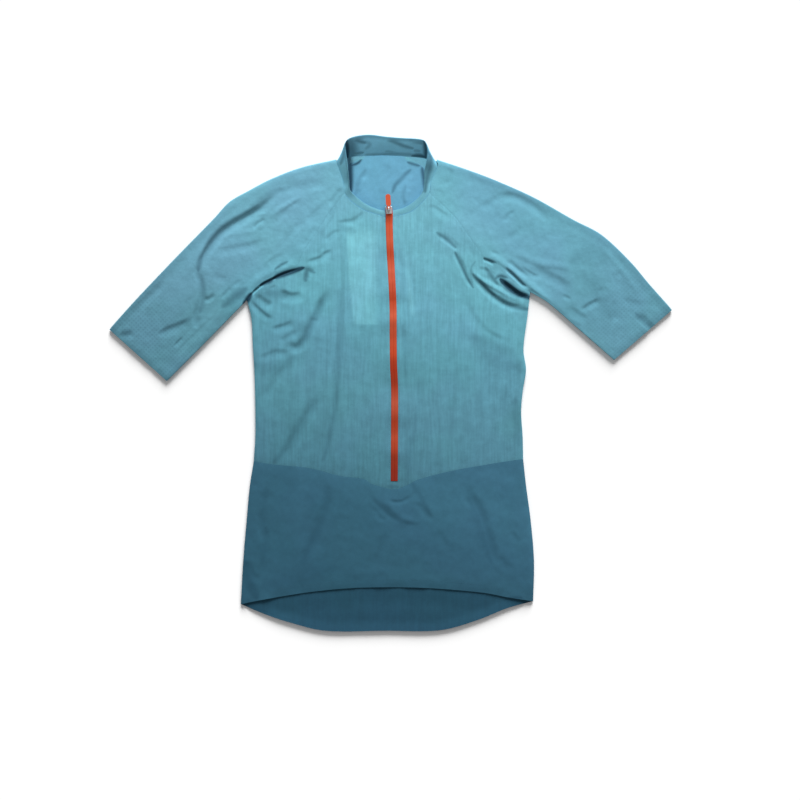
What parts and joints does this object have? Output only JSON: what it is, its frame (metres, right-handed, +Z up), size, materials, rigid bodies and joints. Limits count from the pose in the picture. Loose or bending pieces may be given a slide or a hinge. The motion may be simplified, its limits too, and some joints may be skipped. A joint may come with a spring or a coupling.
{
  "type": "half-zip cycling jersey",
  "caption": "Short-sleeved half-zip cycling jersey laid flat, front up, with raglan sleeves, a low stand collar, a darker hem panel with a dropped tail, and a swinging pull tab.",
  "frame": {"origin": "under the middle of the garment's outline, on the surface that it lies on", "axes": "+X to the right and +Y towards the collar, as seen from above, and +Z up out of the front"},
  "size_m": [0.8996, 0.793, 0.0181],
  "materials": {
    "jersey_knit": "matt knit with fine upright ribs, turquoise",
    "hem_knit": "smooth matt knit, deep blue-green",
    "collar_knit": "matt knit, turquoise",
    "zip_tape": "woven tape and coil, orange",
    "slider_metal": "satin silver",
    "puller_finish": "smooth, orange"
  },
  "bodies": {
    "garment": {"front_body": "jersey_knit", "back_body": "jersey_knit", "sleeve_left": "jersey_knit", "sleeve_right": "jersey_knit", "hem_front": "hem_knit", "hem_back": "hem_knit", "collar": "collar_knit", "zip_tape": "zip_tape", "zip_slider": "slider_metal"},
    "puller": {"zip_puller": "puller_finish"}
  },
  "joints": [
    {"name": "puller_hinge", "type": "hinge", "parent": "garment", "child": "puller", "pos_m": [-0.00293, 0.2787, 0.01111], "axis": [0.9976, 0.0698, 0], "range_deg": [0, 175]}
  ]
}
